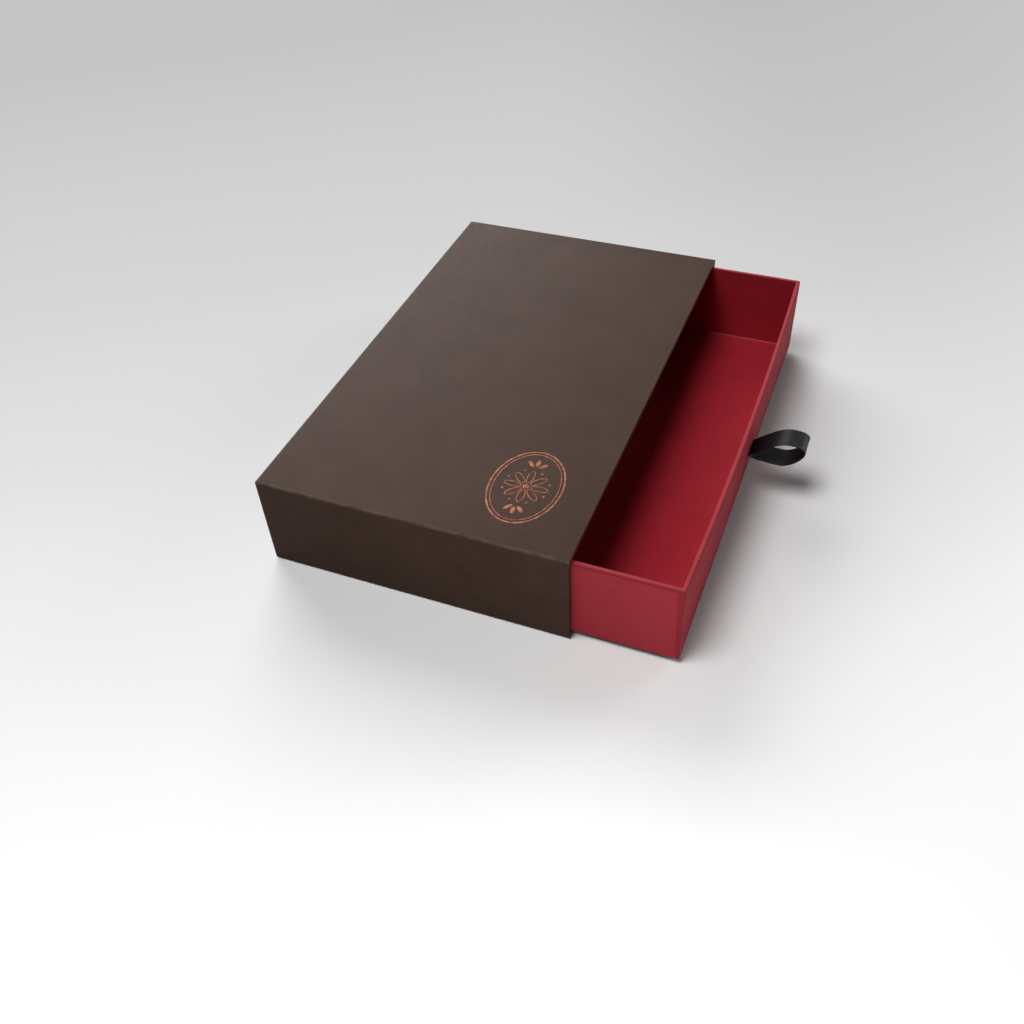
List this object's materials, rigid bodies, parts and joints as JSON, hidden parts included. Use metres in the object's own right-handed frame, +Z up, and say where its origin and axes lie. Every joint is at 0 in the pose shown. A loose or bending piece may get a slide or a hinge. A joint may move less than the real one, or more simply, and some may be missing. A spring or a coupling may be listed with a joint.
{
  "type": "sliding drawer gift box",
  "caption": "Flat rigid gift box: a brown paper-covered sleeve with a red paper-covered tray that slides out of one long side on a black satin ribbon loop.",
  "frame": {"origin": "centre of the sleeve's underside, where the box stands", "axes": "+Z up, +X along the mouth towards its right-hand end as seen from the front, +Y from the mouth to the closed back, so the tray is pulled towards -Y"},
  "size_m": [0.25, 0.2294, 0.0501],
  "materials": {
    "greyboard": "matte",
    "gummed_tape": "matte",
    "brown_covering_paper": "matte",
    "dark_lining_paper": "matte",
    "red_covering_paper": "matte",
    "copper_foil": "satin",
    "black_satin": "satin"
  },
  "bodies": {
    "sleeve": {"sleeve_top_board": "greyboard", "sleeve_bottom_board": "greyboard", "sleeve_left_board": "greyboard", "sleeve_right_board": "greyboard", "sleeve_back_board": "greyboard", "sleeve_corner_tapes": "gummed_tape", "sleeve_back_tapes": "gummed_tape", "sleeve_wrap_paper": "brown_covering_paper", "sleeve_base_paper": "brown_covering_paper", "sleeve_lining_paper": "dark_lining_paper", "foil_emblem": "copper_foil"},
    "drawer": {"tray_bottom_board": "greyboard", "tray_front_board": "greyboard", "tray_back_board": "greyboard", "tray_left_board": "greyboard", "tray_right_board": "greyboard", "tray_corner_tapes": "gummed_tape", "tray_wrap_paper": "red_covering_paper", "tray_wall_liner": "red_covering_paper", "tray_floor_liner": "red_covering_paper", "ribbon_tails": "black_satin", "ribbon_patch": "gummed_tape"},
    "ribbon_loop": {"ribbon_loop": "black_satin"}
  },
  "joints": [
    {"name": "drawer_slide", "type": "slide", "parent": "sleeve", "child": "drawer", "axis": [0, -1, 0], "range_m": [-0.049, 0.09]},
    {"name": "ribbon_flex", "type": "hinge", "parent": "drawer", "child": "ribbon_loop", "pos_m": [0, -0.1254, 0.0247], "axis": [-1, 0, 0], "range_deg": [-60, 50], "stiffness_Nm_per_rad": 0.0005}
  ]
}
